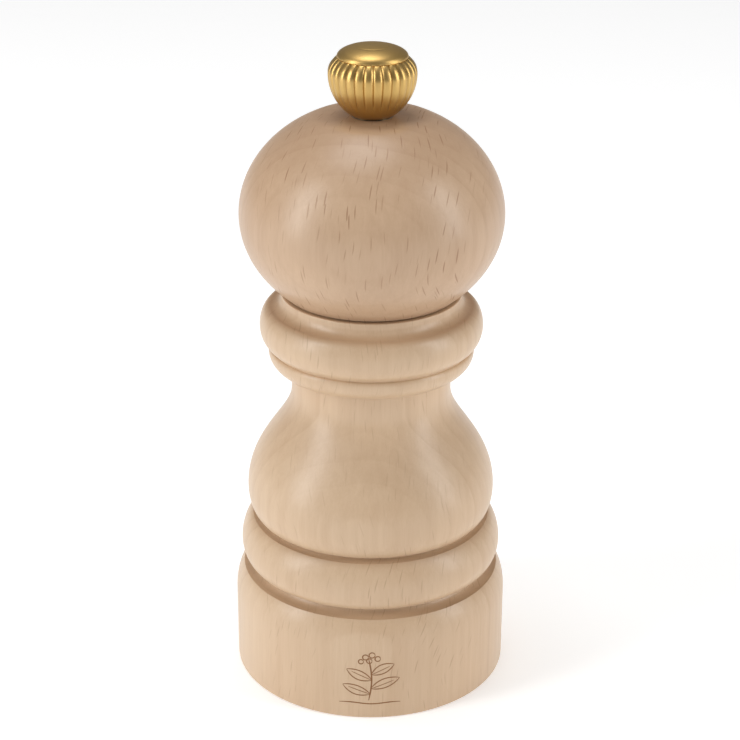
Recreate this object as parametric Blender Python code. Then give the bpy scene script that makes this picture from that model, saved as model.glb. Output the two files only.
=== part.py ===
"""A turned beech pepper mill with a fluted screw knob and a steel grinding mechanism.

Units are metres, +Z is up, and the origin is the centre of the foot on the table. Every piece turns, slides or
rests on the Z axis. The wooden body stands on the table and holds the fixed half of the mechanism. The head turns
the square shaft through its drive plate, the shaft turns the grinding rotor, and the knob on the shaft's thread
draws rotor and shaft up against the spring.
"""

import math

import bmesh
import bpy

MM = 0.001

# Clearances
REST_GAP = 0.3 * MM  # between faces that rest on each other
RUN_GAP = 0.4 * MM  # round a turning or removable fit, on the radius
KEY_GAP = 0.25 * MM  # round the square shaft in the holes that it drives
TURN_STEPS = 40  # sides of a large turned piece
SMALL_STEPS = 24  # sides of a small turned piece
SCREW_STEPS = 12

# Square shaft with a threaded top end and a riveted foot
SHAFT_SIDE = 4.4 * MM
SHAFT_CORNER = 0.5 * MM  # radius on the square's corners
SHAFT_TAPER = 1.2 * MM  # height of the taper from the square to the thread
THREAD_RADIUS = 2.0 * MM
THREAD_BELOW_SEAT = 2.6 * MM  # the thread starts this far under the knob's seat
RIVET_RADIUS = 3.3 * MM
RIVET_HEIGHT = 1.0 * MM
RIVET_WASHER_RADIUS = 4.6 * MM
RIVET_WASHER_THICKNESS = 0.6 * MM

# Grinding ring, rotor and what holds them in the foot
RECESS_DEPTH = 5.0 * MM
PLATE_THICKNESS = 1.2 * MM
PLATE_LIP = 3.9 * MM  # how far the plate reaches in under the ring
RING_OUTER_RADIUS = 15.2 * MM
RING_HEIGHT = 13.0 * MM
RING_BORE_BOTTOM = 10.8 * MM
RING_BORE_TOP = 9.7 * MM
RING_MOUTH = 1.2 * MM  # size of the funnel edge on the ring's top
RING_TEETH = 20
ROTOR_TEETH = 16
TOOTH_DEPTH = 0.7 * MM
CRUSHER_DEPTH = 1.3 * MM  # depth of the flutes that crack whole corns
GRIND_GAP = 0.5 * MM
ROTOR_HEIGHT = 10.2 * MM
ROTOR_FINE_HEIGHT = 3.6 * MM
ROTOR_TWIST = math.radians(38)
RETAINING_SCREWS = 3
RETAINING_WALL = 2.7 * MM  # from the chamber's wall to the screws' axis
RETAINING_MARGIN = 2.9 * MM  # from the screws' axis to the recess wall
RETAINING_SCREW_RADIUS = 0.9 * MM
RETAINING_SCREW_LENGTH = 9.0 * MM
RETAINING_HEAD_RADIUS = 1.8 * MM
SCREW_HEAD_HEIGHT = 0.9 * MM
PILOT_GAP = 0.25 * MM
PILOT_OVERRUN = 0.6 * MM

# Yoke over the ring, its bush, and the spring under it
YOKE_THICKNESS = 1.2 * MM
YOKE_WIDTH = 11.5 * MM
YOKE_HEIGHT = 11.0 * MM
BUSH_WALL = 1.0 * MM
BUSH_FLANGE = 1.1 * MM
BUSH_FLANGE_THICKNESS = 0.8 * MM
BUSH_STAND = 0.5 * MM  # how far the bush stands above the yoke
SEAT_THICKNESS = 0.8 * MM
SEAT_MARGIN = 0.6 * MM
WIRE_RADIUS = 0.45 * MM
SPRING_TURNS = 6
SPRING_CLEARANCE = 0.5 * MM  # from the shaft's corners to the wire
COIL_STEPS = 16

# Outside of the body, from the table up
FOOT_WIDTH = 4.6 * MM
EDGE = 0.5 * MM  # eased edges on the wood
BASE_STRAIGHT = 14.5 * MM
SHOULDER_HEIGHT = 6.9 * MM
SHOULDER_END = 55  # degrees; the shoulder's curve stops at a crisp edge, and a cove runs in from there
GROOVE_RADIUS = 22.2 * MM
BEAD_HEIGHT = 9.8 * MM
BEAD_SWELL = 2.9 * MM
WAIST_RADIUS = 21.0 * MM
WAIST_RISE = 0.2 * MM  # from the bead's top to the top of the cove over it
BELLY_RADIUS = 23.2 * MM
BELLY_RISE = 5.2 * MM
BELLY_FALL = 20.0 * MM
BELLY_HOLD = 9.5 * MM  # how long the belly's curve stays full
NECK_HOLD = 6.3 * MM  # how long it stays slim above that
NECK_RADIUS = 14.75 * MM
NECK_HEIGHT = 4.2 * MM
NECK_STEP = 0.5 * MM
COLLAR_BEAD_RADIUS = 18.95 * MM
COLLAR_BEAD_HEIGHT = 3.4 * MM  # up to its widest line
COLLAR_CROWN = (0.6 * MM, 0.9 * MM)  # across and up, over the bead's widest line
TORUS_RADIUS = 20.5 * MM
TORUS_BELOW = (2.8 * MM, 3.9 * MM)  # across and up, under its widest line
TORUS_ABOVE = (2.0 * MM, 3.65 * MM)
TORUS_STEP = 4.9 * MM  # from the bead's widest line to the torus's
TORUS_START = -58  # degrees; where the torus springs from the groove
COVE_HEIGHT = 1.75 * MM
LIP_RADIUS = 16.6 * MM
LIP_HEIGHT = 0.9 * MM
LIP_EDGE = 0.3 * MM
HOPPER_RADIUS = 11.5 * MM

# Head
HEAD_RADIUS = 23.9 * MM
HEAD_BELOW = 14.6 * MM  # from the seam to the widest line
HEAD_LOWER_ROUND = 19.5 * MM
HEAD_UPPER_ROUND = 19.8 * MM
HEAD_ABOVE = 18.0 * MM  # from the widest line to the flat top
HEAD_FLAT_RADIUS = 8.4 * MM
HEAD_BLEND = 0.35 * MM  # height over which the dome eases into the flat top
SPIGOT_LENGTH = 9.5 * MM
DRIVE_PLATE_THICKNESS = 1.2 * MM
DRIVE_PLATE_MARGIN = 2.5 * MM
DRIVE_SCREWS = 2
DRIVE_SCREW_RADIUS = 0.8 * MM
DRIVE_SCREW_LENGTH = 6.5 * MM
DRIVE_HEAD_RADIUS = 1.5 * MM
TOP_WASHER_THICKNESS = 0.8 * MM
TOP_WASHER_WIDTH = 1.2 * MM

# Knob
KNOB_RADIUS = 7.88 * MM
KNOB_BELOW = 7.5 * MM  # from its seat to its widest line
KNOB_LOWER_ROUND = 8.6 * MM
KNOB_UPPER_ROUND = 4.55 * MM
KNOB_FLUTED_ABOVE = 2.65 * MM  # the flutes end this far above the widest line
KNOB_RIM_GROOVE = 0.15 * MM
KNOB_DOME = 2.15 * MM
FLUTES = 28
FLUTE_DEPTH = 0.3 * MM
INSERT_WALL = 0.6 * MM
THREAD_ENGAGEMENT = 7.3 * MM
KNOB_ROOM = 1.2 * MM  # space over the shaft's end in the knob

# Levels and fits worked out from the sizes above
HALF_SIDE = SHAFT_SIDE / 2
SHAFT_REACH = HALF_SIDE * math.sqrt(2) - SHAFT_CORNER * (math.sqrt(2) - 1)  # axis to corner
CHAMBER_RADIUS = RING_OUTER_RADIUS + RUN_GAP
SCREW_CIRCLE = CHAMBER_RADIUS + RETAINING_WALL
RECESS_RADIUS = SCREW_CIRCLE + RETAINING_MARGIN
BASE_RADIUS = RECESS_RADIUS + FOOT_WIDTH
PLATE_Z = RECESS_DEPTH - REST_GAP - PLATE_THICKNESS
RING_Z = RECESS_DEPTH
YOKE_Z = RING_Z + RING_HEIGHT + REST_GAP
CHAMBER_TOP = YOKE_Z + YOKE_THICKNESS + REST_GAP
BAR_Z = YOKE_Z + YOKE_HEIGHT - YOKE_THICKNESS  # underside of the yoke's bar
BUSH_BORE = SHAFT_REACH + RUN_GAP
BUSH_RADIUS = BUSH_BORE + BUSH_WALL
BUSH_Z = BAR_Z - REST_GAP - BUSH_FLANGE_THICKNESS
SEAT_Z = BUSH_Z - REST_GAP - SEAT_THICKNESS
COIL_RADIUS = SHAFT_REACH + SPRING_CLEARANCE + WIRE_RADIUS
SEAT_RADIUS = COIL_RADIUS + WIRE_RADIUS + SEAT_MARGIN
ROTOR_Z = PLATE_Z + REST_GAP
ROTOR_TOP = ROTOR_Z + ROTOR_HEIGHT
RIVET_WASHER_Z = ROTOR_Z - REST_GAP - RIVET_WASHER_THICKNESS
SHAFT_Z = RIVET_WASHER_Z - REST_GAP - RIVET_HEIGHT
SPRING_Z = ROTOR_TOP + REST_GAP
SPRING_LENGTH = SEAT_Z - REST_GAP - SPRING_Z
BODY_TOP = (
    BASE_STRAIGHT + SHOULDER_HEIGHT + BEAD_HEIGHT + BELLY_RISE + BELLY_FALL + NECK_HEIGHT
    + COLLAR_BEAD_HEIGHT + TORUS_STEP + TORUS_ABOVE[1] + COVE_HEIGHT + LIP_HEIGHT
)
HEAD_Z = BODY_TOP + REST_GAP
HEAD_TOP = HEAD_BELOW + HEAD_ABOVE  # above the seam
HEAD_BORE = SHAFT_REACH + RUN_GAP
SPIGOT_RADIUS = HOPPER_RADIUS - RUN_GAP
DRIVE_PLATE_Z = HEAD_Z - SPIGOT_LENGTH - REST_GAP - DRIVE_PLATE_THICKNESS
DRIVE_PLATE_RADIUS = SPIGOT_RADIUS - DRIVE_PLATE_MARGIN
DRIVE_CIRCLE = (SHAFT_REACH + DRIVE_PLATE_RADIUS) / 2
KNOB_Z = HEAD_Z + HEAD_TOP + REST_GAP
TOP_WASHER_BORE = THREAD_RADIUS + RUN_GAP
TOP_WASHER_RADIUS = TOP_WASHER_BORE + TOP_WASHER_WIDTH
INSERT_BORE = THREAD_RADIUS + REST_GAP
INSERT_RADIUS = INSERT_BORE + INSERT_WALL
SHAFT_TOP = KNOB_Z + THREAD_ENGAGEMENT
THREAD_Z = KNOB_Z - THREAD_BELOW_SEAT


def metal(name, colour, roughness, metallic=1.0):
    """A Principled material of one colour."""
    material = bpy.data.materials.new(name)
    material.use_nodes = True
    shader = material.node_tree.nodes["Principled BSDF"]
    shader.inputs["Base Color"].default_value = (*colour, 1.0)
    shader.inputs["Roughness"].default_value = roughness
    shader.inputs["Metallic"].default_value = metallic
    return material


def arc(centre, radii, start, end, steps):
    """Points on an ellipse about centre, by angle in degrees from the outward direction."""
    angles = [math.radians(start + (end - start) * i / steps) for i in range(steps + 1)]
    return [
        (centre[0] + radii[0] * math.cos(a), centre[1] + radii[1] * math.sin(a))
        for a in angles
    ]


def cove(low, high, steps=3):
    """Points on a hollow quarter of an ellipse, level at low and upright at high, without low."""
    return arc((low[0], high[1]), (low[0] - high[0], high[1] - low[1]), -90, -180, steps)[1:]


def swell(low, high, depth, steps):
    """Points between two places on a turning, bulging out by depth as half an ellipse."""
    points = []
    for i in range(1, steps):
        along = (1 - math.cos(math.pi * i / steps)) / 2
        out = depth * math.sin(math.pi * i / steps)
        points.append(
            (low[0] + (high[0] - low[0]) * along + out, low[1] + (high[1] - low[1]) * along)
        )
    return points


def bezier(a, b, c, d, steps):
    """Points on a cubic curve from a to d with handles b and c, without its two ends."""
    points = []
    for i in range(1, steps):
        t = i / steps
        weights = ((1 - t) ** 3, 3 * t * (1 - t) ** 2, 3 * t * t * (1 - t), t**3)
        points.append(
            tuple(sum(w * p[k] for w, p in zip(weights, (a, b, c, d))) for k in range(2))
        )
    return points


def piece(name, mesh_builder, material, parent, place):
    """An object from a finished bmesh, shaded smooth between its sharp edges, under its body's empty."""
    bmesh.ops.recalc_face_normals(mesh_builder, faces=mesh_builder.faces)
    mesh = bpy.data.meshes.new(name)
    mesh_builder.to_mesh(mesh)
    mesh_builder.free()
    mesh.materials.append(material)
    mesh.shade_smooth()
    mesh.set_sharp_from_angle(angle=math.radians(35))
    made = bpy.data.objects.new(name, mesh)
    bpy.context.scene.collection.objects.link(made)
    made.parent = parent
    made.location = (place[0], place[1], place[2] - parent.location.z)
    return made


def turned(name, outline, material, parent, place=(0, 0, 0), steps=TURN_STEPS):
    """A closed outline of (radius, height) points spun round Z. An edge along the axis is left out."""
    builder = bmesh.new()
    corners = [builder.verts.new((r, 0, z)) for r, z in outline]
    edges = [
        builder.edges.new((a, b))
        for a, b in zip(corners, corners[1:] + corners[:1])
        if a.co.x > 0 or b.co.x > 0
    ]
    bmesh.ops.spin(
        builder, geom=corners + edges, cent=(0, 0, 0), axis=(0, 0, 1),
        angle=math.tau, steps=steps, use_merge=True,
    )
    bmesh.ops.remove_doubles(builder, verts=builder.verts, dist=1e-6)
    return piece(name, builder, material, parent, place)


def lofted(name, loops, material, parent, place=(0, 0, 0), ring=False):
    """Loops of equally many points, each joined to the next. A ring closes on its first loop, else both ends are capped."""
    builder = bmesh.new()
    rows = [[builder.verts.new(p) for p in loop] for loop in loops]
    pairs = list(zip(rows, rows[1:] + rows[:1])) if ring else list(zip(rows, rows[1:]))
    for lower, upper in pairs:
        for a, b, c, d in zip(lower, lower[1:] + lower[:1], upper[1:] + upper[:1], upper):
            builder.faces.new((a, b, c, d))
    if not ring:
        builder.faces.new(rows[0])
        builder.faces.new(rows[-1])
    return piece(name, builder, material, parent, place)


def loop(radius_at, height, count):
    """A loop of count points at a height, with the radius given by the angle."""
    angles = [math.tau * i / count for i in range(count)]
    return [(radius_at(a) * math.cos(a), radius_at(a) * math.sin(a), height) for a in angles]


def circle(radius, height, count):
    return loop(lambda angle: radius, height, count)


def square(half, reach, height, count):
    """A square of that half side whose corners are turned down to a distance of reach from the axis."""
    return loop(
        lambda angle: min(half / max(abs(math.cos(angle)), abs(math.sin(angle))), reach),
        height, count,
    )


def toothed(radius, depth, teeth, height, count, turn=0.0):
    """A loop of pointed teeth: the radius falls by depth from each tip to the root beside it."""
    return loop(
        lambda angle: radius - depth * (((angle + turn) * teeth / math.tau + 1e-6) % 1.0),
        height, count,
    )


def cutter(name, mesh_object, target):
    """Cuts one object out of another, and keeps the cutter out of the model."""
    mesh_object.hide_render = True
    mesh_object.display_type = "WIRE"
    cut = target.modifiers.new(name, "BOOLEAN")
    cut.operation = "DIFFERENCE"
    cut.solver = "EXACT"
    cut.object = mesh_object


def drill(target, parent, x, y, low, high, radius, material, steps=SCREW_STEPS):
    """A round hole along Z through target, from low to high."""
    hole = turned(
        f"{target.name}_hole", [(0, low), (radius, low), (radius, high), (0, high)],
        material, parent, (x, y, 0), steps,
    )
    cutter("hole", hole, target)


def on_circle(radius, count, first=0.0):
    """Places evenly spaced on a circle, from the angle first."""
    angles = [first + math.tau * i / count for i in range(count)]
    return [(radius * math.cos(a), radius * math.sin(a)) for a in angles]


def joint_empty(name, height):
    """The parent of one moving group, on the mill's axis."""
    empty = bpy.data.objects.new(name, None)
    empty.location = (0, 0, height)
    bpy.context.scene.collection.objects.link(empty)
    return empty


def body_outline():
    """The body's section: up the outside from the foot, over the lip, and down the hopper and the chamber."""
    z = BASE_STRAIGHT
    points = [(RECESS_RADIUS, 0), (BASE_RADIUS - EDGE, 0), (BASE_RADIUS, EDGE)]
    points += arc(
        (GROOVE_RADIUS, z), (BASE_RADIUS - GROOVE_RADIUS, SHOULDER_HEIGHT), 0, SHOULDER_END, 5
    )
    z += SHOULDER_HEIGHT
    points += cove(points[-1], (GROOVE_RADIUS, z))
    low = (GROOVE_RADIUS, z)
    z += BEAD_HEIGHT
    points += swell(low, (WAIST_RADIUS, z), BEAD_SWELL, 7)
    points += cove(points[-1], (WAIST_RADIUS, z + WAIST_RISE))
    z += BELLY_RISE
    points += arc((WAIST_RADIUS, z), (BELLY_RADIUS - WAIST_RADIUS, BELLY_RISE), -68, 0, 3)
    neck = (NECK_RADIUS, z + BELLY_FALL)
    points += bezier(
        (BELLY_RADIUS, z), (BELLY_RADIUS, z + BELLY_HOLD),
        (NECK_RADIUS, z + BELLY_FALL - NECK_HOLD), neck, 9,
    )
    z += BELLY_FALL + NECK_HEIGHT
    points += [neck, (NECK_RADIUS, z - NECK_STEP)]
    bead_root = NECK_RADIUS + NECK_STEP
    z += COLLAR_BEAD_HEIGHT
    points += arc((bead_root, z), (COLLAR_BEAD_RADIUS - bead_root, COLLAR_BEAD_HEIGHT), -90, 0, 5)
    points += arc((COLLAR_BEAD_RADIUS - COLLAR_CROWN[0], z), COLLAR_CROWN, 0, 75, 3)[1:]
    z += TORUS_STEP
    points += arc((TORUS_RADIUS - TORUS_BELOW[0], z), TORUS_BELOW, TORUS_START, 0, 5)
    crest = TORUS_RADIUS - TORUS_ABOVE[0]
    points += arc((crest, z), TORUS_ABOVE, 0, 90, 6)[1:]
    points += cove(points[-1], (LIP_RADIUS, BODY_TOP - LIP_HEIGHT), 5)
    return points + [
        (LIP_RADIUS, BODY_TOP - LIP_EDGE),
        (LIP_RADIUS - LIP_EDGE, BODY_TOP),
        (HOPPER_RADIUS + EDGE, BODY_TOP),
        (HOPPER_RADIUS, BODY_TOP - EDGE),
        (HOPPER_RADIUS, CHAMBER_TOP),
        (CHAMBER_RADIUS, CHAMBER_TOP),
        (CHAMBER_RADIUS, RECESS_DEPTH),
        (RECESS_RADIUS, RECESS_DEPTH),
    ]


def make_body(wood, frame):
    body = turned("body", body_outline(), wood, frame)
    top = RECESS_DEPTH + RETAINING_SCREW_LENGTH - PLATE_THICKNESS + PILOT_OVERRUN
    for x, y in on_circle(SCREW_CIRCLE, RETAINING_SCREWS, math.pi / 2):
        drill(
            body, frame, x, y, RECESS_DEPTH - REST_GAP, top,
            RETAINING_SCREW_RADIUS + PILOT_GAP, wood,
        )


def screw(name, place, radius, head_radius, length, material, frame):
    """A wood screw pointing up: a domed pan head below its origin, and a shank with a point above."""
    crown = SCREW_HEAD_HEIGHT * 0.75
    outline = [
        (0, -SCREW_HEAD_HEIGHT),
        (head_radius * 0.6, -SCREW_HEAD_HEIGHT),
        (head_radius, -crown / 2),
        (head_radius, 0),
        (radius, 0),
        (radius, length - 2 * radius),
        (0, length),
    ]
    turned(name, outline, material, frame, place, SCREW_STEPS)


def ring_tip(height):
    """The radius at the tips of the ring's teeth, at a height above the table."""
    share = (height - RING_Z) / RING_HEIGHT
    return RING_BORE_BOTTOM + (RING_BORE_TOP - RING_BORE_BOTTOM) * share - TOOTH_DEPTH


def make_fixed_mechanism(steel, hard_steel, nylon, frame):
    """What stays still in the foot: the grinding ring, its plate and screws, the yoke and its bush."""
    count = RING_TEETH * 3
    root_bottom = RING_BORE_BOTTOM
    root_top = RING_BORE_TOP
    lofted(
        "grinding_ring",
        [
            circle(RING_OUTER_RADIUS, 0, count),
            circle(RING_OUTER_RADIUS, RING_HEIGHT, count),
            circle(root_top + RING_MOUTH, RING_HEIGHT, count),
            toothed(root_top, TOOTH_DEPTH, RING_TEETH, RING_HEIGHT - RING_MOUTH, count),
            toothed(root_bottom, TOOTH_DEPTH, RING_TEETH, 0, count),
        ],
        hard_steel, frame, (0, 0, RING_Z), ring=True,
    )
    outer = RECESS_RADIUS - RUN_GAP
    inner = RING_OUTER_RADIUS - PLATE_LIP
    plate = turned(
        "retaining_plate",
        [(inner, 0), (outer, 0), (outer, PLATE_THICKNESS), (inner, PLATE_THICKNESS)],
        steel, frame, (0, 0, PLATE_Z),
    )
    for i, (x, y) in enumerate(on_circle(SCREW_CIRCLE, RETAINING_SCREWS, math.pi / 2)):
        drill(
            plate, frame, x, y, PLATE_Z - PLATE_THICKNESS, RECESS_DEPTH + PLATE_THICKNESS,
            RETAINING_SCREW_RADIUS + PILOT_GAP, steel,
        )
        screw(
            f"retaining_screw_{i + 1}", (x, y, PLATE_Z - REST_GAP), RETAINING_SCREW_RADIUS,
            RETAINING_HEAD_RADIUS, RETAINING_SCREW_LENGTH, steel, frame,
        )
    make_yoke(steel, frame)
    flange = BUSH_RADIUS + BUSH_FLANGE
    stand = BUSH_FLANGE_THICKNESS + REST_GAP + YOKE_THICKNESS + BUSH_STAND
    turned(
        "guide_bush",
        [
            (BUSH_BORE, 0), (flange, 0), (flange, BUSH_FLANGE_THICKNESS),
            (BUSH_RADIUS, BUSH_FLANGE_THICKNESS), (BUSH_RADIUS, stand), (BUSH_BORE, stand),
        ],
        nylon, frame, (0, 0, BUSH_Z), SMALL_STEPS,
    )


def make_yoke(steel, frame):
    """A strap bent over the spring, its two feet held between the ring and the body's shoulder."""
    half = YOKE_WIDTH / 2
    foot = math.sqrt((CHAMBER_RADIUS - RUN_GAP) ** 2 - half**2)
    leg = math.sqrt((HOPPER_RADIUS - RUN_GAP) ** 2 - half**2)
    inside = leg - YOKE_THICKNESS
    right = [
        (inside, YOKE_HEIGHT - YOKE_THICKNESS), (inside, 0), (foot, 0),
        (foot, YOKE_THICKNESS), (leg, YOKE_THICKNESS), (leg, YOKE_HEIGHT),
    ]
    outline = right + [(-x, z) for x, z in reversed(right)]
    builder = bmesh.new()
    face = builder.faces.new([builder.verts.new((x, -half, z)) for x, z in outline])
    moved = bmesh.ops.extrude_face_region(builder, geom=[face])["geom"]
    bmesh.ops.translate(
        builder, vec=(0, YOKE_WIDTH, 0), verts=[v for v in moved if isinstance(v, bmesh.types.BMVert)]
    )
    yoke = piece("yoke", builder, steel, frame, (0, 0, YOKE_Z))
    drill(
        yoke, frame, 0, 0, BAR_Z - YOKE_THICKNESS, BAR_Z + 2 * YOKE_THICKNESS,
        BUSH_RADIUS + PILOT_GAP, steel, SMALL_STEPS,
    )


def make_spring(steel, seat_frame):
    """A square-holed seat that turns with the shaft, and a compression spring with a closed turn at each end."""
    turns = SPRING_TURNS
    closed = 2 * WIRE_RADIUS + 0.12 * MM  # pitch of the two end turns
    free = (SPRING_LENGTH - 2 * WIRE_RADIUS - 2 * closed) / (turns - 2)

    def height(turn):
        low = min(turn, 1.0)
        high = max(turn - (turns - 1), 0.0)
        return WIRE_RADIUS + closed * (low + high) + free * (turn - low - high)

    curve = bpy.data.curves.new("spring", "CURVE")
    curve.dimensions = "3D"
    curve.bevel_depth = WIRE_RADIUS
    curve.bevel_resolution = 1
    curve.use_fill_caps = True
    curve.materials.append(steel)
    wire = curve.splines.new("POLY")
    count = turns * COIL_STEPS
    wire.points.add(count)
    for i in range(count + 1):
        angle = math.tau * i / COIL_STEPS
        wire.points[i].co = (
            COIL_RADIUS * math.cos(angle), COIL_RADIUS * math.sin(angle), height(i / COIL_STEPS), 1,
        )
    spring = bpy.data.objects.new("spring", curve)
    bpy.context.scene.collection.objects.link(spring)
    spring.parent = seat_frame
    spring.location = (0, 0, SPRING_Z - seat_frame.location.z)
    hole = (HALF_SIDE + KEY_GAP, SHAFT_REACH + KEY_GAP)
    lofted(
        "spring_seat",
        [
            circle(SEAT_RADIUS, 0, SMALL_STEPS), circle(SEAT_RADIUS, SEAT_THICKNESS, SMALL_STEPS),
            square(*hole, SEAT_THICKNESS, SMALL_STEPS), square(*hole, 0, SMALL_STEPS),
        ],
        steel, seat_frame, (0, 0, SEAT_Z), ring=True,
    )


def make_shaft(steel, hard_steel, frame):
    """The square shaft with its riveted foot and thread, the grinding rotor and the washer under it."""
    count = SMALL_STEPS
    body = (HALF_SIDE, SHAFT_REACH)
    foot = RIVET_HEIGHT
    thread = THREAD_Z - SHAFT_Z
    top = SHAFT_TOP - SHAFT_Z
    lofted(
        "shaft",
        [
            circle(RIVET_RADIUS * 0.7, 0, count), circle(RIVET_RADIUS, foot * 0.6, count),
            circle(RIVET_RADIUS, foot, count), square(*body, foot, count),
            square(*body, thread - SHAFT_TAPER, count), circle(THREAD_RADIUS, thread, count),
            circle(THREAD_RADIUS, top - EDGE, count), circle(THREAD_RADIUS - EDGE, top, count),
        ],
        steel, frame, (0, 0, SHAFT_Z),
    )
    turned(
        "rotor_washer",
        [
            (SHAFT_REACH + KEY_GAP, 0), (RIVET_WASHER_RADIUS, 0),
            (RIVET_WASHER_RADIUS, RIVET_WASHER_THICKNESS), (SHAFT_REACH + KEY_GAP, RIVET_WASHER_THICKNESS),
        ],
        steel, frame, (0, 0, RIVET_WASHER_Z), SMALL_STEPS,
    )
    count = ROTOR_TEETH * 4
    crown = SEAT_RADIUS
    widest = ring_tip(RING_Z) - GRIND_GAP
    fine_top = ring_tip(ROTOR_Z + ROTOR_FINE_HEIGHT) - GRIND_GAP
    loops = [
        toothed(widest, TOOTH_DEPTH, ROTOR_TEETH, 0, count),
        toothed(
            fine_top, TOOTH_DEPTH, ROTOR_TEETH, ROTOR_FINE_HEIGHT, count,
            ROTOR_TWIST * ROTOR_FINE_HEIGHT / ROTOR_HEIGHT,
        ),
    ]
    for share in (0.35, 0.7, 1.0):
        height = ROTOR_FINE_HEIGHT + (ROTOR_HEIGHT - ROTOR_FINE_HEIGHT) * share
        radius = fine_top + (crown - fine_top) * share
        depth = CRUSHER_DEPTH * (1 - share)
        loops.append(
            toothed(
                radius, depth, ROTOR_TEETH, height, count, ROTOR_TWIST * height / ROTOR_HEIGHT
            )
        )
    hole = (HALF_SIDE + KEY_GAP, SHAFT_REACH + KEY_GAP)
    loops += [square(*hole, ROTOR_HEIGHT, count), square(*hole, 0, count)]
    lofted("rotor", loops, hard_steel, frame, (0, 0, ROTOR_Z), ring=True)


def head_outline():
    """The head's section from its seam: spigot, ball, flat top, washer seat and the hole for the shaft."""
    rim_angle = math.degrees(math.asin((EDGE - HEAD_BELOW) / HEAD_LOWER_ROUND))
    end_angle = math.degrees(math.asin((HEAD_ABOVE - HEAD_BLEND) / HEAD_UPPER_ROUND))
    middle = (0, HEAD_BELOW)
    ball = arc(middle, (HEAD_RADIUS, HEAD_LOWER_ROUND), rim_angle, 0, 7)
    ball += arc(middle, (HEAD_RADIUS, HEAD_UPPER_ROUND), 0, end_angle, 9)[1:]
    edge = ball[-1]
    easing = (edge[0] - HEAD_FLAT_RADIUS) / 3
    flat = (HEAD_FLAT_RADIUS, HEAD_TOP)
    seat = TOP_WASHER_RADIUS + REST_GAP
    floor = HEAD_TOP - TOP_WASHER_THICKNESS - REST_GAP
    return [
        (HEAD_BORE, -SPIGOT_LENGTH),
        (SPIGOT_RADIUS - EDGE, -SPIGOT_LENGTH),
        (SPIGOT_RADIUS, EDGE - SPIGOT_LENGTH),
        (SPIGOT_RADIUS, 0),
        (ball[0][0] - EDGE, 0),
        *ball,
        *bezier(edge, (edge[0] - easing, edge[1] + HEAD_BLEND * 0.8), (flat[0] + easing, HEAD_TOP), flat, 3),
        flat,
        (seat, HEAD_TOP),
        (seat, floor),
        (HEAD_BORE, floor),
    ]


def make_head(wood, steel, frame):
    """The turned head, with the drive plate under its spigot and the washer under the knob."""
    head = turned("head", head_outline(), wood, frame, (0, 0, HEAD_Z))
    hole = (HALF_SIDE + KEY_GAP, SHAFT_REACH + KEY_GAP)
    plate = lofted(
        "drive_plate",
        [
            circle(DRIVE_PLATE_RADIUS, 0, TURN_STEPS),
            circle(DRIVE_PLATE_RADIUS, DRIVE_PLATE_THICKNESS, TURN_STEPS),
            square(*hole, DRIVE_PLATE_THICKNESS, TURN_STEPS),
            square(*hole, 0, TURN_STEPS),
        ],
        steel, frame, (0, 0, DRIVE_PLATE_Z), ring=True,
    )
    plate_top = DRIVE_PLATE_Z + DRIVE_PLATE_THICKNESS
    pilot = DRIVE_SCREW_RADIUS + PILOT_GAP
    for i, (x, y) in enumerate(on_circle(DRIVE_CIRCLE, DRIVE_SCREWS)):
        drill(
            head, frame, x, y, plate_top - REST_GAP,
            DRIVE_PLATE_Z + DRIVE_SCREW_LENGTH + PILOT_OVERRUN, pilot, wood,
        )
        drill(
            plate, frame, x, y, DRIVE_PLATE_Z - DRIVE_PLATE_THICKNESS,
            plate_top + DRIVE_PLATE_THICKNESS, pilot, steel,
        )
        screw(
            f"drive_plate_screw_{i + 1}", (x, y, DRIVE_PLATE_Z - REST_GAP), DRIVE_SCREW_RADIUS,
            DRIVE_HEAD_RADIUS, DRIVE_SCREW_LENGTH, steel, frame,
        )
    turned(
        "top_washer",
        [
            (TOP_WASHER_BORE, 0), (TOP_WASHER_RADIUS, 0),
            (TOP_WASHER_RADIUS, TOP_WASHER_THICKNESS), (TOP_WASHER_BORE, TOP_WASHER_THICKNESS),
        ],
        steel, frame, (0, 0, HEAD_Z + HEAD_TOP - TOP_WASHER_THICKNESS), SMALL_STEPS,
    )


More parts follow.
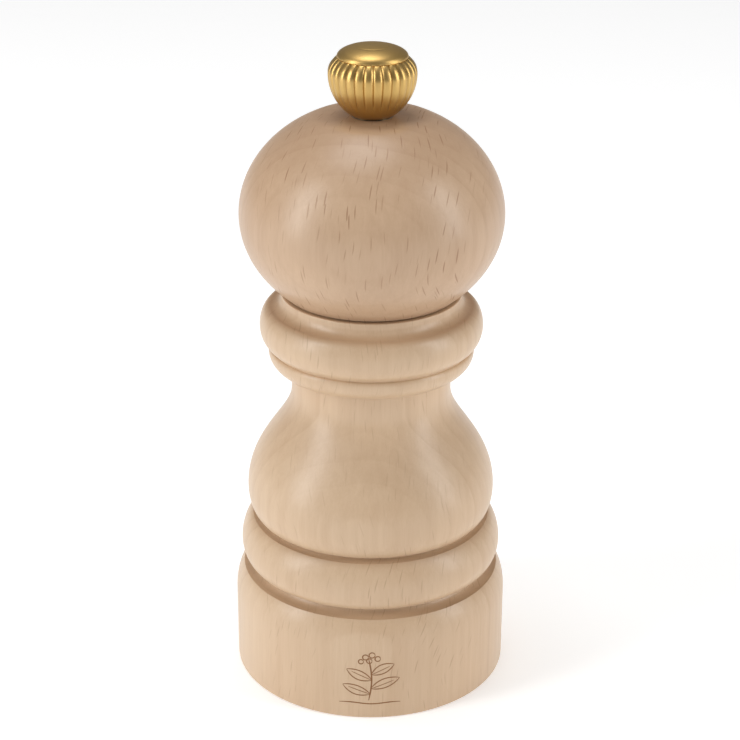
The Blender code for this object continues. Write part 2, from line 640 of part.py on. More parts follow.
def make_knob(brass, steel, frame):
    """A ball fluted between its foot and its rim, hollow for the threaded insert that runs on the shaft."""
    count = FLUTES * 3
    middle = (0, KNOB_BELOW)
    foot_angle = math.degrees(math.asin(-KNOB_BELOW / KNOB_LOWER_ROUND))
    rim_angle = math.degrees(math.asin(KNOB_FLUTED_ABOVE / KNOB_UPPER_ROUND))
    lower = arc(middle, (KNOB_RADIUS, KNOB_LOWER_ROUND), foot_angle, 0, 6)
    upper = arc(middle, (KNOB_RADIUS, KNOB_UPPER_ROUND), 0, rim_angle, 3)[1:]
    cavity = INSERT_RADIUS + REST_GAP
    ceiling = THREAD_ENGAGEMENT + KNOB_ROOM
    loops = [circle(cavity, ceiling, count), circle(cavity, 0, count), circle(lower[0][0], 0, count)]
    for i, (radius, height) in enumerate(lower[1:] + upper):
        depth = FLUTE_DEPTH * min(1.0, i / 2)  # the flutes run out towards the foot
        loops.append(
            loop(
                lambda angle, r=radius, d=depth: r - d * (round(angle * count / math.tau) % 3 == 0),
                height, count,
            )
        )
    rim, top = upper[-1]
    rim -= KNOB_RIM_GROOVE
    loops.append(circle(rim, top + KNOB_RIM_GROOVE / 2, count))
    dome = arc((0, top + KNOB_RIM_GROOVE), (rim, KNOB_DOME), 0, 84, 5)
    loops += [circle(radius, height, count) for radius, height in dome]
    lofted("knob", loops, brass, frame, (0, 0, KNOB_Z))
    insert_top = ceiling - REST_GAP
    turned(
        "knob_insert",
        [
            (INSERT_BORE, REST_GAP), (INSERT_RADIUS, REST_GAP),
            (INSERT_RADIUS, insert_top), (INSERT_BORE, insert_top),
        ],
        steel, frame, (0, 0, KNOB_Z), SMALL_STEPS,
    )


def main():
    for old in list(bpy.data.objects):
        bpy.data.objects.remove(old, do_unlink=True)
    wood = metal("beech", (0.62, 0.44, 0.28), 0.55, 0.0)
    brass = metal("satin_brass", (0.72, 0.48, 0.18), 0.3)
    steel = metal("zinc_plated_steel", (0.62, 0.62, 0.6), 0.35)
    hard_steel = metal("hardened_steel", (0.2, 0.2, 0.21), 0.4)
    nylon = metal("nylon", (0.8, 0.79, 0.74), 0.5, 0.0)
    make_body(wood, joint_empty("body_frame", 0))
    body_frame = bpy.data.objects["body_frame"]
    make_fixed_mechanism(steel, hard_steel, nylon, body_frame)
    make_spring(steel, joint_empty("spring_seat_frame", SEAT_Z))
    make_shaft(steel, hard_steel, joint_empty("shaft_frame", SHAFT_Z))
    make_head(wood, steel, joint_empty("head_frame", HEAD_Z))
    make_knob(brass, steel, joint_empty("knob_frame", KNOB_Z))


main()
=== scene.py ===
import math

import bpy
import numpy as np
from mathutils import Matrix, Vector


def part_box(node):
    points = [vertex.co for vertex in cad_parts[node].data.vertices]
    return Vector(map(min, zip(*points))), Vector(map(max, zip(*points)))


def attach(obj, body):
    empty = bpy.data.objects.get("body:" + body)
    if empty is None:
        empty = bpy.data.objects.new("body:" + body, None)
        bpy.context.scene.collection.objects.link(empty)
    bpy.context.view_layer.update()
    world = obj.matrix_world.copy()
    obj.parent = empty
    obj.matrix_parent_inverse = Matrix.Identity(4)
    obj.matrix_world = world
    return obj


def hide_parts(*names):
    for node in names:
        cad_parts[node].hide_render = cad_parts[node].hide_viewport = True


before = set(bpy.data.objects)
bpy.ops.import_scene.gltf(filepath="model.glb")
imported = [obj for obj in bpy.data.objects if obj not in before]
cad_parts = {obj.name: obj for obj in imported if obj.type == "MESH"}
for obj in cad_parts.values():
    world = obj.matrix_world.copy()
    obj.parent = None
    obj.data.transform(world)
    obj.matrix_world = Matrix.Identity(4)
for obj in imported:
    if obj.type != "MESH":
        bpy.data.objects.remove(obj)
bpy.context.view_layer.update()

mm = 0.001
tau = 2 * math.pi

# camera and world

studio = {
    "cameraPlace": (-0.00022, -0.3354, 0.2060),
    "cameraTilt": 66.37,  # degrees up from straight down
    "cameraRoll": 0.244,
    "lens": 95.98,  # millimetres
    "nearest": 0.01,  # metres from the camera where the view begins
    "floorHalf": 3.0,
    "floorColour": (0.9, 0.9, 0.9),
    "floorGlow": 0.33,  # lights the background paper evenly
    "worldStrength": 0.22,
    "aim": (0, 0, 0.06),  # the mill's middle
}


def srgb(red, green, blue):  # screen values 0..255 to linear light, with alpha
    values = np.array([red, green, blue]) / 255
    linear = np.where(values <= 0.04045, values / 12.92, ((values + 0.055) / 1.055) ** 2.4)
    return (*[float(v) for v in linear], 1.0)


def setStudio():
    scene = bpy.context.scene
    cameraData = bpy.data.cameras.new("camera")
    cameraData.lens = studio["lens"]
    cameraData.clip_start = studio["nearest"]
    camera = bpy.data.objects.new("camera", cameraData)
    scene.collection.objects.link(camera)
    turn = Matrix.Rotation(math.radians(studio["cameraTilt"]), 4, "X")
    roll = Matrix.Rotation(math.radians(studio["cameraRoll"]), 4, "Z")
    camera.matrix_world = Matrix.Translation(studio["cameraPlace"]) @ turn @ roll
    scene.camera = camera
    scene.view_settings.view_transform = "Standard"

    world = bpy.data.worlds.new("studio_world")
    world.use_nodes = True
    world.node_tree.nodes["Background"].inputs["Color"].default_value = (1, 1, 1, 1)
    world.node_tree.nodes["Background"].inputs["Strength"].default_value = studio["worldStrength"]
    scene.world = world


lamps = {  # name: place, size across and up, power in watts
    "left_box": ((-0.84, -0.36, 0.46), (0.26, 0.9), 5.3),
    "right_box": ((0.86, -0.26, 0.42), (0.24, 0.9), 4.1),
    "top_box": ((-0.15, 0.20, 1.6), (0.9, 0.8), 10.0),
}


def setLamps():
    for name, (place, size, power) in lamps.items():
        data = bpy.data.lights.new(name, "AREA")
        data.shape = "RECTANGLE"
        data.size, data.size_y = size
        data.energy = power
        lamp = bpy.data.objects.new(name, data)
        bpy.context.scene.collection.objects.link(lamp)
        back = np.array(place) - np.array(studio["aim"])  # the lamp's own +Z points away from the mill
        back = back / np.linalg.norm(back)
        side = np.cross([0, 0, 1.0], back)
        side = side / np.linalg.norm(side)
        up = np.cross(back, side)
        rows = [[side[i], up[i], back[i], place[i]] for i in range(3)]
        lamp.matrix_world = Matrix(rows + [[0, 0, 0, 1]])


class Wire:  # a socket that takes part in arithmetic, each step adding a Math node
    def __init__(self, finish, socket):
        self.finish = finish
        self.socket = socket

    def sibling(self, name):
        return Wire(self.finish, self.socket.node.outputs[name])

    def math(self, operation, *values):
        inputs = {i: value for i, value in enumerate(values)}
        return self.finish.add("ShaderNodeMath", {"operation": operation}, inputs)

    def __add__(self, other):
        return self.math("ADD", self, other)

    def __sub__(self, other):
        return self.math("SUBTRACT", self, other)

    def __rsub__(self, other):
        return self.math("SUBTRACT", other, self)

    def __mul__(self, other):
        return self.math("MULTIPLY", self, other)

    def __truediv__(self, other):
        return self.math("DIVIDE", self, other)

    def __pow__(self, other):
        return self.math("POWER", self, other)

    def __abs__(self):
        return self.math("ABSOLUTE", self)


class Finish:  # a material on the Principled shader, and the one way that nodes are added to it
    def __init__(self, name, **values):
        self.material = bpy.data.materials.new(name)
        self.material.use_nodes = True
        self.tree = self.material.node_tree
        self.shader = self.tree.nodes["Principled BSDF"]
        self.wear(**values)

    def wear(self, **values):
        for key, value in values.items():
            self.feed(self.shader.inputs[key.replace("_", " ")], value)

    def feed(self, socket, value):
        if isinstance(value, Wire):
            self.tree.links.new(value.socket, socket)
        else:
            socket.default_value = value

    def add(self, kind, settings, inputs, output=0):
        node = self.tree.nodes.new(kind)
        for key, value in settings.items():
            setattr(node, key, value)
        for key, value in inputs.items():
            self.feed(node.inputs[key], value)
        return Wire(self, node.outputs[output])

    def place(self):  # where the surface point lies on its piece, in metres
        return self.add("ShaderNodeTexCoord", {}, {}, "Object")

    def split(self, vector):
        x = self.add("ShaderNodeSeparateXYZ", {}, {0: vector})
        return x, x.sibling("Y"), x.sibling("Z")

    def join(self, x, y, z):
        return self.add("ShaderNodeCombineXYZ", {}, {0: x, 1: y, 2: z})

    def vector(self, operation, *values, output=0):
        inputs = {i: value for i, value in enumerate(values)}
        return self.add("ShaderNodeVectorMath", {"operation": operation}, inputs, output)

    def stretch(self, vector, factors):
        return self.vector("MULTIPLY", vector, factors)

    def noise(self, vector, detail=2.0, roughness=0.5):
        inputs = {"Vector": vector, "Scale": 1.0, "Detail": detail, "Roughness": roughness}
        return self.add("ShaderNodeTexNoise", {}, inputs)

    def smooth(self, value, low, high, start=0.0, end=1.0):
        settings = {"interpolation_type": "SMOOTHSTEP"}
        inputs = {0: value, 1: low, 2: high, 3: start, 4: end}
        return self.add("ShaderNodeMapRange", settings, inputs)

    def mix(self, factor, first, second):
        settings = {"data_type": "RGBA", "blend_type": "MIX", "clamp_factor": True}
        return self.add("ShaderNodeMix", settings, {0: factor, 6: first, 7: second}, 2)

    def bump(self, height, strength, distance):
        inputs = {"Strength": strength, "Distance": distance, "Height": height}
        self.wear(Normal=self.add("ShaderNodeBump", {}, inputs))


# finishes

beech = {
    "body": (srgb(218, 191, 160), srgb(189, 155, 121)),  # spring wood and summer wood
    "head": (srgb(204, 174, 144), srgb(171, 136, 106)),
    "bodyFlecks": 0.38,  # share of a fleck's full depth of colour
    "headFlecks": 1.0,
    "fleck": srgb(146, 104, 72),
    "specular": 0.5,
    "roughness": 0.34,
    "pith": (0.014, 0.085),  # where the tree's middle lay, behind the mill
    "ringWidth": 0.0026,
    "ringWander": 0.0055,  # how far slow noise moves a ring
    "ringDepth": 0.26,  # how far a year's end goes to the summer colour
    "yearEnd": (0.9, 1.0),  # share of the year over which the tone falls back
    "yearVaries": 0.8,  # a year's strength is a random share of this, and yearLeast
    "yearLeast": 0.3,
    "streakDepth": 0.5,
    "fibreDepth": 0.28,
    "cloudDepth": 0.9,
    "startDepth": 0.32,
    "endGrainAndShadeDepth": 0.45,  # how far end grain, with painted shade for the upward-facing grooves, goes to the summer colour
    "endGrainAndShadeEdge": (0.5, 0.95),  # where the surface has turned up enough to show end grain and take the painted shade
    "fleckDepth": 0.85,
    "slow": (28, 28, 9),  # each noise's scale along X, Y and Z
    "streaks": (700, 700, 26),
    "fibres": (3800, 3800, 150),
    "clouds": (34, 34, 14),
    "leans": (26, 26, 40),
    "patches": (45, 45, 30),
    "toolMarks": 2600.0,
    "leanReach": 0.012,  # how far flecks are swayed round the rings
    "cell": (0.0010, 0.0045, 0.0042),  # one fleck's room: round the rings, across them, and up
    "fleckWidth": 0.0001,  # half lengths round the rings and up
    "fleckLength": 0.0016,
    "fleckSpan": 2.4,  # cells across the rings for one half length
    "fleckEdge": (0.55, 1.15),  # shares of the half lengths between which a fleck fades
    "fleckLuck": 0.6,  # cells whose random value is under this have fainter flecks
    "fleckSides": (0.55, 0.92),  # flecks fade out where the surface turns to X
    "patchEdge": (0.38, 0.62),
    "patchShare": 0.6,  # how much fainter flecks are between patches
    "fibreRise": 0.6,  # shares of the bump
    "streakRise": 0.5,
    "toolRise": 0.35,
    "fleckDrop": 0.8,
    "fibreDulls": 0.16,  # how far each moves the roughness
    "fleckDulls": 0.1,
    "bumpStrength": 0.22,
    "bumpDistance": 0.00012,
}


def beechFinish(name, tones, flecks):
    # Rings are the distance to the pith over the ring width, wavered by slow noise. Their tone rises
    # through each year and falls off quickly. Rays are thin ellipsoids, one in each cell of a stretched
    # Voronoi. They fade out towards the sides, where they would be cut lengthwise.
    wood = beech
    early, late = tones
    finish = Finish(name, Specular_IOR_Level=wood["specular"])
    place = finish.place()
    x, y, z = finish.split(place)
    across = x - wood["pith"][0]
    back = wood["pith"][1] - y
    slow = finish.noise(finish.stretch(place, wood["slow"]), 2.0)
    square = across * across + back * back
    reach = square.math("SQRT", square)
    year = (reach + (slow - 0.5) * wood["ringWander"]) / wood["ringWidth"]
    share = year.math("FRACT", year)
    count = year.math("FLOOR", year)
    strong = finish.add("ShaderNodeTexWhiteNoise", {"noise_dimensions": "1D"}, {"W": count})
    tone = (share ** 3.0) * finish.smooth(share, *wood["yearEnd"], 1.0, 0.0)
    tone = tone * (strong * wood["yearVaries"] + wood["yearLeast"])

    streak = finish.noise(finish.stretch(place, wood["streaks"]), 3.0, 0.6)
    fibre = finish.noise(finish.stretch(place, wood["fibres"]), 2.0, 0.6)
    cloud = finish.noise(finish.stretch(place, wood["clouds"]), 3.0, 0.55)

    lean = finish.noise(finish.stretch(place, wood["leans"]), 1.0)
    arc = across.math("ARCTAN2", across, back) * wood["pith"][1] + (lean - 0.5) * wood["leanReach"]
    cell = wood["cell"]
    spot = finish.join(arc / cell[0], reach / cell[1], z / cell[2])
    settings = {"voronoi_dimensions": "3D", "feature": "F1"}
    rays = finish.add("ShaderNodeTexVoronoi", settings, {"Vector": spot, "Scale": 1.0})
    offset = finish.vector("SUBTRACT", spot, rays.sibling("Position"))
    shape = (cell[0] / wood["fleckWidth"], wood["fleckSpan"], cell[2] / wood["fleckLength"])
    away = finish.vector("LENGTH", finish.stretch(offset, shape), output="Value")
    luck = finish.split(rays.sibling("Color"))[0]
    fleck = finish.smooth(away, *wood["fleckEdge"], 1.0, 0.0) * finish.smooth(luck, 0.0, wood["fleckLuck"])
    patch = finish.smooth(finish.noise(finish.stretch(place, wood["patches"]), 1.0), *wood["patchEdge"])
    patch = patch * wood["patchShare"] + (1 - wood["patchShare"])
    # side and end say how far the surface turns to X and to Z; end also carries the painted shade below
    facing = finish.split(finish.add("ShaderNodeTexCoord", {}, {}, "Normal"))
    side, end = abs(facing[0]), abs(facing[2])
    fleck = fleck * patch * finish.smooth(side, *wood["fleckSides"], flecks, 0.0)

    depth = tone * wood["ringDepth"] + (streak - 0.5) * wood["streakDepth"]
    depth = depth + (fibre - 0.5) * wood["fibreDepth"] + (cloud - 0.5) * wood["cloudDepth"]
    colour = finish.mix(depth + wood["startDepth"], early, late)
    # Surfaces that face up or down go towards the summer colour: real end grain, made stronger as painted
    # shade in the grooves
    colour = finish.mix(finish.smooth(end, *wood["endGrainAndShadeEdge"]) * wood["endGrainAndShadeDepth"], colour, late)
    colour = finish.mix(fleck * wood["fleckDepth"], colour, wood["fleck"])
    turning = finish.noise(finish.join(0.0, 0.0, z * wood["toolMarks"]), 2.0, 0.6)
    height = (fibre - 0.5) * wood["fibreRise"] + (streak - 0.5) * wood["streakRise"]
    height = height + (turning - 0.5) * wood["toolRise"] - fleck * wood["fleckDrop"]
    roughness = (fibre - 0.5) * wood["fibreDulls"] + fleck * wood["fleckDulls"] + wood["roughness"]
    finish.wear(Base_Color=colour, Roughness=roughness)
    finish.bump(height, wood["bumpStrength"], wood["bumpDistance"])
    return finish.material


brass = {
    "colours": (srgb(198, 162, 96), srgb(208, 174, 110)),
    "brushing": (900, 900, 9000),
    "clouds": (260, 260, 260),
    "roughness": 0.37,
    "brushedShare": 0.1,  # how far each noise moves the roughness
    "cloudShare": 0.05,
    "rimRoughness": 0.05,  # added on the dome
    "rimBlend": 0.0001,
}


def brassFinish(name, rimHeight):
    # Fine brushing round the knob and a faint cloud of wear. The dome above rimHeight is the dullest.
    finish = Finish(name, Metallic=1.0)
    place = finish.place()
    height = finish.split(place)[2]
    brushed = finish.noise(finish.stretch(place, brass["brushing"]), 2.0, 0.6)
    cloud = finish.noise(finish.stretch(place, brass["clouds"]), 3.0, 0.5)
    rim = finish.smooth(height, rimHeight - brass["rimBlend"], rimHeight + brass["rimBlend"])
    varied = (brushed - 0.5) * brass["brushedShare"] + (cloud - 0.5) * brass["cloudShare"]
    colour = finish.mix(cloud, *brass["colours"])
    finish.wear(Base_Color=colour, Roughness=varied + brass["roughness"] + rim * brass["rimRoughness"])
    return finish.material


steels = {  # name: colour, roughness, the grain's scale along X, Y and Z
    "zinc_plate": (srgb(205, 205, 200), 0.3, (600, 600, 7000)),
    "hardened_steel": (srgb(96, 95, 94), 0.36, (2500, 2500, 2500)),
}
steelWear = {
    "clouds": (420, 420, 420), "dull": 0.78, "cloudTint": 0.7, "grainTint": 0.25,
    "cloudDulls": 0.12, "grainDulls": 0.2, "bumpStrength": 0.08, "bumpDistance": 0.00003,
}


def steelFinish(name):
    # Rolled and plated steel: a fine grain and a faint cloud of tarnish.
    colour, roughness, grain = steels[name]
    finish = Finish(name, Metallic=1.0)
    place = finish.place()
    rolled = finish.noise(finish.stretch(place, grain), 3.0, 0.65)
    cloud = finish.noise(finish.stretch(place, steelWear["clouds"]), 3.0, 0.55)
    dull = tuple(c * steelWear["dull"] for c in colour[:3]) + (1.0,)
    tint = finish.mix(cloud * steelWear["cloudTint"] + rolled * steelWear["grainTint"], colour, dull)
    varied = (rolled - 0.5) * steelWear["grainDulls"] + (cloud - 0.5) * steelWear["cloudDulls"]
    finish.wear(Base_Color=tint, Roughness=varied + roughness)
    finish.bump(rolled - 0.5, steelWear["bumpStrength"], steelWear["bumpDistance"])
    return finish.material


plainLooks = {  # name: two colours, the noise's scale, detail and roughness, the surface's, bump strength
    "nylon_moulded": ((srgb(232, 229, 218), srgb(214, 210, 196)), (500, 500, 500), (3.0, 0.55), 0.38, 0.05),
    "scorched_print": ((srgb(126, 84, 52), srgb(158, 116, 80)), (2600, 2600, 160), (2.0, 0.6), 0.5, 0.1),
}
plainWear = {"roughness": 0.2, "bumpDistance": 0.00005}  # what the noise adds to each


def plainFinish(name, **values):
    # One noise between two colours: a cloud in the nylon, and the grain that breaks the scorched lines.
    colours, scale, kind, roughness, strength = plainLooks[name]
    finish = Finish(name, **values)
    grain = finish.noise(finish.stretch(finish.place(), scale), *kind)
    finish.wear(Base_Color=finish.mix(grain, *colours), Roughness=grain * plainWear["roughness"] + roughness)
    finish.bump(grain, strength, plainWear["bumpDistance"])
    return finish.material


# outlines are (radius, height) rows in millimetres

def arcRun(centre, radii, start, end, count):  # an ellipse's points between two angles in degrees
    angles = np.radians(np.linspace(start, end, count))
    return np.column_stack([centre[0] + radii[0] * np.cos(angles), centre[1] + radii[1] * np.sin(angles)])


def swellRun(low, high, depth, count):  # half an ellipse that bulges by depth between two points
    turn = np.linspace(0, np.pi, count)
    along = (1 - np.cos(turn)) / 2
    return np.column_stack([
        low[0] + (high[0] - low[0]) * along + depth * np.sin(turn),
        low[1] + (high[1] - low[1]) * along,
    ])


def bezierRun(a, b, c, d, count):  # a cubic curve from a to d with handles b and c
    t = np.linspace(0, 1, count)[:, None]
    a, b, c, d = (np.array(p, dtype=float) for p in (a, b, c, d))
    return (1 - t) ** 3 * a + 3 * t * (1 - t) ** 2 * b + 3 * t * t * (1 - t) * c + t ** 3 * d


def joinRuns(*runs):  # one outline from runs of points, dropping a point that repeats the one before
    points = np.vstack([np.atleast_2d(np.array(run, dtype=float)) for run in runs])
    step = np.linalg.norm(np.diff(points, axis=0), axis=1)
    return points[np.concatenate([[True], step > 1e-4])]


def rings(radii, heights, angles):  # a radius for every height and angle, as points
    return np.stack([radii * np.cos(angles), radii * np.sin(angles), heights + 0 * radii], axis=2)


def fullTurn(count):
    return np.linspace(0, tau, count, endpoint=False)


def turned(outline, angles):  # each outline point (r, z) carried round Z: (r cos a, r sin a, z)
    return rings(outline[:, :1] + 0 * angles, outline[:, 1:], angles)


def squareRadius(angles, half, reach):  # distance to a square's side, turned down at its corners
    side = half / np.maximum(np.abs(np.cos(angles)), np.abs(np.sin(angles)))
    return np.minimum(side, reach)


def volumeOf(*corners):  # six times the volume between triangles and the origin
    return np.einsum("ij,ij->i", np.cross(corners[0], corners[1]), corners[2]).sum()


def skin(name, points, loops, caps, material, body, replaced, sharp=30):
    # Neighbouring points make quads. The columns always close, the rows only if the grid loops, and a cap
    # is a fan to the end row's middle. Faces are turned outwards by their signed volume.
    points = np.asarray(points, dtype=float) * mm
    rows, columns = points.shape[:2]
    index = np.arange(rows * columns).reshape(rows, columns)
    upper = np.roll(index, -1, axis=0) if loops else index[1:]
    lower = index if loops else index[:-1]
    quads = [lower, np.roll(lower, -1, axis=1), np.roll(upper, -1, axis=1), upper]
    quads = np.stack(quads, axis=2).reshape(-1, 4)
    flat = points.reshape(-1, 3)
    fans = np.zeros((0, 3), dtype=int)
    if caps:
        first, last = len(flat), len(flat) + 1
        flat = np.vstack([flat, points[0].mean(axis=0), points[-1].mean(axis=0)])
        fans = np.vstack([
            np.column_stack([np.roll(index[0], -1), index[0], np.full(columns, first)]),
            np.column_stack([index[-1], np.roll(index[-1], -1), np.full(columns, last)]),
        ])
    a, b, c, d = (flat[quads[:, i]] for i in range(4))
    volume = volumeOf(a, b, c) + volumeOf(a, c, d) + volumeOf(*(flat[fans[:, i]] for i in range(3)))
    if volume < 0:
        quads, fans = quads[:, ::-1], fans[:, ::-1]
    mesh = bpy.data.meshes.new(name)
    mesh.from_pydata(flat.tolist(), [], quads.tolist() + fans.tolist())
    mesh.materials.append(material)
    mesh.shade_smooth()
    mesh.set_sharp_from_angle(angle=math.radians(sharp))
    mesh.update()
    piece = bpy.data.objects.new(name, mesh)
    bpy.context.scene.collection.objects.link(piece)
    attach(piece, body)
    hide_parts(replaced)


def levels(node):  # the lowest and highest level of a node, in millimetres
    low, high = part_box(node)
    return low[2] / mm, high[2] / mm


bodyShape = {  # radii, steps up the profile and half axes of its rounds, in millimetres
    "foot": 25.78, "recess": 21.2, "recessDepth": 5.0, "chamber": 15.6, "chamberTop": 19.8, "hopper": 11.5,
    "recessEdge": 0.25, "footEdge": 0.45, "hopperEdge": 0.35,
    "straight": 14.5, "shoulder": 6.9, "shoulderEnd": 55.0, "groove": 22.2,
    "bead": 9.8, "beadSwell": 2.9, "waist": 21.0, "waistRise": 0.2, "waistStart": -68,
    "beadPoints": 41, "beadShown": 35,  # the last points would lie under the cove above
    "belly": 23.2, "bellyRise": 5.2, "bellyFall": 20.0, "bellyHold": 9.5, "neckHold": 6.3,
    "neck": 14.75, "neckHeight": 4.2, "neckStep": 0.5,
    "collarBead": 18.94, "collarBeadHeight": 3.4, "collarCrown": (0.6, 0.9), "crownEnd": 75,
    "torus": 20.48, "torusStep": 4.9, "torusBelow": (2.8, 3.9), "torusAbove": (2.0, 3.65),
    "torusStart": -58.0, "grooveHolds": ((-0.14, 0.06), (0.26, 0.23)),
    "cove": 1.75, "lip": 16.55, "lipHeight": 0.9, "lipEdge": 0.22,
    "columns": 256,
}


def coveRun(low, high, count):  # a hollow quarter of an ellipse, level at low and upright at high
    return arcRun((low[0], high[1]), (low[0] - high[0], high[1] - low[1]), -90, -180, count)


def bodyOutline(s, top):
    z1 = s["straight"]
    z2 = z1 + s["shoulder"]
    z3 = z2 + s["bead"]
    z4 = z3 + s["bellyRise"]
    z5 = z4 + s["bellyFall"]
    z6 = z5 + s["neckHeight"]
    z7 = z6 + s["collarBeadHeight"]
    z8 = z7 + s["torusStep"]
    z9 = top - s["lipHeight"]
    root = s["neck"] + s["neckStep"]
    foot, groove, waist = s["foot"], s["groove"], s["waist"]
    recess, footEdge, recessEdge = s["recess"], s["footEdge"], s["recessEdge"]
    hopper, hopperEdge, lipEdge = s["hopper"], s["hopperEdge"], s["lipEdge"]
    shoulder = arcRun((groove, z1), (foot - groove, s["shoulder"]), 0, s["shoulderEnd"], 28)
    bead = swellRun((groove, z2), (waist, z3), s["beadSwell"], s["beadPoints"])[:s["beadShown"]]
    crown = arcRun((s["collarBead"] - s["collarCrown"][0], z7), s["collarCrown"], 0, s["crownEnd"], 12)
    torus = arcRun((s["torus"] - s["torusBelow"][0], z8), s["torusBelow"], s["torusStart"], 0, 30)
    crest = s["torus"] - s["torusAbove"][0]
    after, before = s["grooveHolds"]
    widest = (s["belly"], z4), (s["belly"], z4 + s["bellyHold"])
    narrowest = (s["neck"], z5 - s["neckHold"]), (s["neck"], z5)
    return joinRuns(
        (recess, recessEdge),
        arcRun((recess + recessEdge, recessEdge), (recessEdge, recessEdge), 180, 270, 5),
        arcRun((foot - footEdge, footEdge), (footEdge, footEdge), -90, 0, 7),
        shoulder, coveRun(shoulder[-1], (groove, z2), 12),
        bead, coveRun(bead[-1], (waist, z3 + s["waistRise"]), 10),
        arcRun((waist, z4), (s["belly"] - waist, s["bellyRise"]), s["waistStart"], 0, 18),
        bezierRun(*widest, *narrowest, 48), (s["neck"], z6 - s["neckStep"]),
        arcRun((root, z7), (s["collarBead"] - root, s["collarBeadHeight"]), -90, 0, 26), crown,
        bezierRun(crown[-1], crown[-1] + after, torus[0] - before, torus[0], 10), torus,
        arcRun((crest, z8), s["torusAbove"], 0, 90, 30),
        coveRun((crest, z9 - s["cove"]), (s["lip"], z9), 20),
        arcRun((s["lip"] - lipEdge, top - lipEdge), (lipEdge, lipEdge), 0, 90, 6),
        arcRun((hopper + hopperEdge, top - hopperEdge), (hopperEdge, hopperEdge), 90, 180, 6),
        (hopper, s["chamberTop"]), (s["chamber"], s["chamberTop"]),
        (s["chamber"], s["recessDepth"]), (recess, s["recessDepth"]),
    )


def makeBody(wood):
    points = turned(bodyOutline(bodyShape, levels("body")[1]), fullTurn(bodyShape["columns"]))
    skin("turned_body", points, True, False, wood, "body", "body")


headShape = {
    "radius": 23.88, "below": 14.6, "lowerRound": 19.5, "upperRound": 19.8,
    "flat": 8.4, "blend": 0.35, "spigot": 11.1, "spigotLength": 9.5, "spigotEdge": 0.5, "bore": 3.3,
    "seamDrop": 0.25, "seamStep": 0.2, "washerSeat": 3.7, "washerDepth": 1.1, "columns": 256,
}


def headOutline(s, low, top):
    seam = low + s["spigotLength"]
    middle = (0, seam + s["below"])
    above = top - middle[1]
    start = math.degrees(math.asin((s["seamDrop"] - s["below"]) / s["lowerRound"]))
    end = math.degrees(math.asin((above - s["blend"]) / s["upperRound"]))
    lower = arcRun(middle, (s["radius"], s["lowerRound"]), start, 0, 50)
    upper = arcRun(middle, (s["radius"], s["upperRound"]), 0, end, 70)
    edge, spigot, spigotEdge = upper[-1], s["spigot"], s["spigotEdge"]
    ease = (edge[0] - s["flat"]) / 3
    hold = (edge[0] - ease, edge[1] + s["blend"] * 0.8)
    return joinRuns(
        (s["bore"], low), (spigot - spigotEdge, low), (spigot, low + spigotEdge), (spigot, seam),
        (lower[0][0] - s["seamStep"], seam), lower, upper,
        bezierRun(edge, hold, (s["flat"] + ease, top), (s["flat"], top), 10), (s["washerSeat"], top),
        (s["washerSeat"], top - s["washerDepth"]), (s["bore"], top - s["washerDepth"]),
    )


def makeHead(wood):
    points = turned(headOutline(headShape, *levels("head")), fullTurn(headShape["columns"]))
    skin("turned_head", points, True, False, wood, "head", "head")


knobShape = {
    "radius": 7.86, "below": 7.5, "lowerRound": 8.6, "upperRound": 4.55, "flutedAbove": 2.65,
    "flutes": 28, "fluteTurn": 1.0, "fluteDepth": 0.34, "fluteStart": 1.2, "fluteFull": 3.6, "perFlute": 16,
    "groove": 0.14, "grooveDepth": 0.24, "grooveEdges": (0.03, 0.02), "crest": 0.1,
    "markRadius": 3.1, "markWidth": 0.4, "markDepth": 0.05,
    "cavity": 3.2, "cavityDepth": 8.5, "cavityTip": 0.15, "footRound": 0.32, "footDrop": 0.18,
    "rimAbove": 0.1,  # from the flutes' upper end to where the dome's finish begins
}


def makeKnob(brassMetal):
    # Radius = the profile's radius less the flute depth times (1 - |2 s|) cubed, where s runs from -1/2 to
    # 1/2 between two ridges, and the depth fades out towards the foot. The dome is a quarter of an ellipse
    # with a shallow ring and a dot sunk in it.
    s = knobShape
    low, high = levels("knob")
    middle = (0, low + s["below"])
    lowest = math.degrees(math.asin(-s["below"] / s["lowerRound"]))
    rim = math.degrees(math.asin(s["flutedAbove"] / s["upperRound"]))
    fluted = joinRuns(
        arcRun(middle, (s["radius"], s["lowerRound"]), lowest, 0, 40),
        arcRun(middle, (s["radius"], s["upperRound"]), 0, rim, 22),
    )
    edge, level = fluted[-1]
    first = math.radians(-90 + s["fluteTurn"])
    angles = first + fullTurn(s["flutes"] * s["perFlute"])
    phase = ((angles - first) * s["flutes"] / tau + 0.5) % 1.0 - 0.5
    groove = (1 - np.minimum(np.abs(2 * phase), 1)) ** 3
    fade = np.clip((fluted[:, 1] - low - s["fluteStart"]) / (s["fluteFull"] - s["fluteStart"]), 0, 1)
    fade = fade * fade * (3 - 2 * fade)
    band = rings(fluted[:, :1] - s["fluteDepth"] * fade[:, None] * groove, fluted[:, 1:], angles)
    start = level + s["groove"]
    turn = np.radians(np.linspace(1, 89, 70))
    dome = np.column_stack([np.cos(turn), np.sin(turn)]) * (edge - s["crest"], high - start) + (0, start)
    cut = np.exp(-(((dome[:, 0] - s["markRadius"]) / (s["markWidth"] / 2)) ** 2))
    cut += np.exp(-((dome[:, 0] / (s["markWidth"] * 2)) ** 2))
    dome[:, 1] -= s["markDepth"] * cut
    neck = edge - s["grooveDepth"]
    top = joinRuns((neck, level + s["grooveEdges"][0]), (neck, start - s["grooveEdges"][1]), dome)
    foot, footRound = low - s["footDrop"], s["footRound"]
    cavity, ceiling = s["cavity"], low + s["cavityDepth"]
    inside = joinRuns(
        (s["cavityTip"], ceiling), (cavity, ceiling), (cavity, foot),
        arcRun((fluted[0][0] - footRound, foot + footRound), (footRound, footRound), -90, -30, 8),
    )
    points = np.concatenate([turned(inside, angles), band, turned(top, angles)])
    skin("fluted_knob", points, False, True, brassMetal, "knob", "knob", 40)


